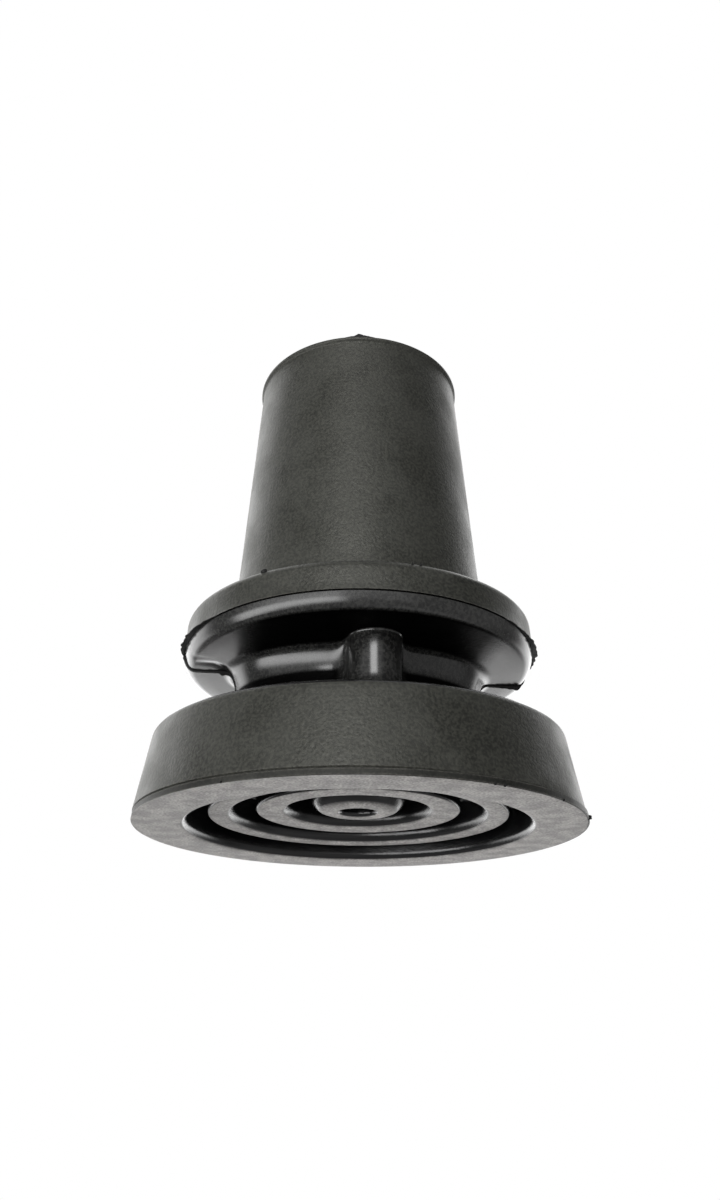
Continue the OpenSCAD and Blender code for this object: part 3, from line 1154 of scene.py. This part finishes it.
def soft_panel_group():
    tree, given, result = new_group("soft_panel", dict.fromkeys(PANEL_INPUTS, 0.0), ("Level",))
    aside = calc(tree, "SUBTRACT", given["Azimuth"], given["Aim Azimuth"])
    aside = calc(tree, "WRAP", aside, 180.0, -180.0)
    above = calc(tree, "SUBTRACT", given["Elevation"], given["Aim Elevation"])
    parts = []
    for offset, half in ((aside, "Half Width"), (above, "Half Height")):
        end = calc(tree, "ADD", given[half], given["Softness"])
        parts.append(ramp(tree, calc(tree, "ABSOLUTE", offset), given[half], end, 1.0, 0.0))
    wire(tree, times(tree, times(tree, *parts), given["Level"]), result["Level"])
    return tree


soft_panel = soft_panel_group()
print("soft panel group has", len(soft_panel.nodes), "nodes")

# %% [markdown]
# Angles are in degrees. The azimuth is 0 in front of the tip and grows towards its right,
# and the elevation is 0 at the height of the tip. A bright wall stands behind the tip, and
# gives its sides their pale edges. A narrow window in front draws the streak on the rib. A
# dim glow round the window lights the sleeve and the flank, and a low strip at the left
# draws the streaks on the collar's lower edge and the neck. The ground lights the tread. The
# camera sees none of this, but plain white.

# %% World
ROOM_LEVEL = 0.16
PANELS = (
    # name, aim azimuth, half width, aim elevation, half height, softness, level
    ("back_wall", 180, 54, 24, 35, 16, 2.7),
    ("window", -14, 11, 19, 8, 6, 10.0),
    ("low_glow", -25, 40, 8, 14, 20, 0.65),
    ("low_left", -54, 32, -12, 6, 9, 7.0),
    ("low_right", 40, 40, -20, 20, 25, 0.35),
    ("ceiling", 0, 180, 90, 25, 20, 0.5),
    ("ground", 0, 180, -90, 40, 25, 0.3),
)


def panel_light(tree):
    """The level of the room and all its panels, in the direction that a ray looks."""
    x, y, z = parts_of(tree, tree.nodes.new("ShaderNodeTexCoord").outputs["Generated"])
    degrees = math.degrees(1)
    turn = calc(tree, "ARCTAN2", x, times(tree, y, -1.0))
    azimuth = times(tree, turn, degrees)
    elevation = times(tree, calc(tree, "ARCSINE", z), degrees)
    total = ROOM_LEVEL
    for name, *numbers in PANELS:
        panel = tree.nodes.new("ShaderNodeGroup")
        panel.name = panel.label = name
        panel.node_tree = soft_panel
        for value, socket in zip((azimuth, elevation, *map(float, numbers)), panel.inputs):
            wire(tree, value, socket)
        total = calc(tree, "ADD", total, panel.outputs["Level"])
    return total


def add_world():
    world = bpy.data.worlds.new("studio")
    world.use_nodes = True
    tree = world.node_tree
    tree.nodes.clear()
    light = tree.nodes.new("ShaderNodeBackground")
    shown = tree.nodes.new("ShaderNodeBackground")
    wire(tree, panel_light(tree), light.inputs["Strength"])
    for background in (light, shown):
        background.inputs["Color"].default_value = (1, 1, 1, 1)
    mix = tree.nodes.new("ShaderNodeMixShader")
    wire(tree, tree.nodes.new("ShaderNodeLightPath").outputs["Is Camera Ray"], mix.inputs["Fac"])
    wire(tree, light.outputs[0], mix.inputs[1])
    wire(tree, shown.outputs[0], mix.inputs[2])
    wire(tree, mix.outputs[0], tree.nodes.new("ShaderNodeOutputWorld").inputs["Surface"])
    bpy.context.scene.world = world


add_world()
bpy.context.scene.view_settings.view_transform = "Standard"
print("world has", len(PANELS), "panels")

# %% [markdown]
# The tip stands on a plain white floor that keeps its shadow. The floor fades out round the
# tip, into the white of the background. It shows only from above, and only to the eye, so the
# view from below the tread stays open and no light is blocked.

# %% Floor
FLOOR_R, FLOOR_FADE, FLOOR_DROP = 220, 60, 0.15
FLOOR_WHITE = (0.95, 0.95, 0.95, 1)


def floor_material():
    material = bpy.data.materials.new("pale_floor")
    material.use_nodes = True
    tree = material.node_tree
    tree.nodes.clear()
    away = tree.nodes.new("ShaderNodeVectorMath")
    away.operation = "LENGTH"
    wire(tree, place_mm(tree), away.inputs[0])
    near = ramp(tree, away.outputs["Value"], FLOOR_FADE, FLOOR_R, 1.0, 0.0)
    to_eye = tree.nodes.new("ShaderNodeLightPath").outputs["Is Camera Ray"]
    from_below = tree.nodes.new("ShaderNodeNewGeometry").outputs["Backfacing"]
    seen = times(tree, to_eye, calc(tree, "SUBTRACT", 1.0, from_below))
    white = tree.nodes.new("ShaderNodeBsdfDiffuse")
    white.inputs["Color"].default_value = FLOOR_WHITE
    mix = tree.nodes.new("ShaderNodeMixShader")
    wire(tree, times(tree, near, seen), mix.inputs["Fac"])
    wire(tree, tree.nodes.new("ShaderNodeBsdfTransparent").outputs[0], mix.inputs[1])
    wire(tree, white.outputs[0], mix.inputs[2])
    wire(tree, mix.outputs[0], tree.nodes.new("ShaderNodeOutputMaterial").inputs["Surface"])
    return material


def add_floor():
    corners = ((-1, -1), (1, -1), (1, 1), (-1, 1))
    verts = [(x * FLOOR_R * MM, y * FLOOR_R * MM, -FLOOR_DROP * MM) for x, y in corners]
    mesh = bpy.data.meshes.new("floor")
    mesh.from_pydata(verts, [], [(0, 1, 2, 3)])
    mesh.materials.append(floor_material())
    floor = bpy.data.objects.new("floor", mesh)
    bpy.context.scene.collection.objects.link(floor)


add_floor()
print("floor is", 2 * FLOOR_R, "mm wide")
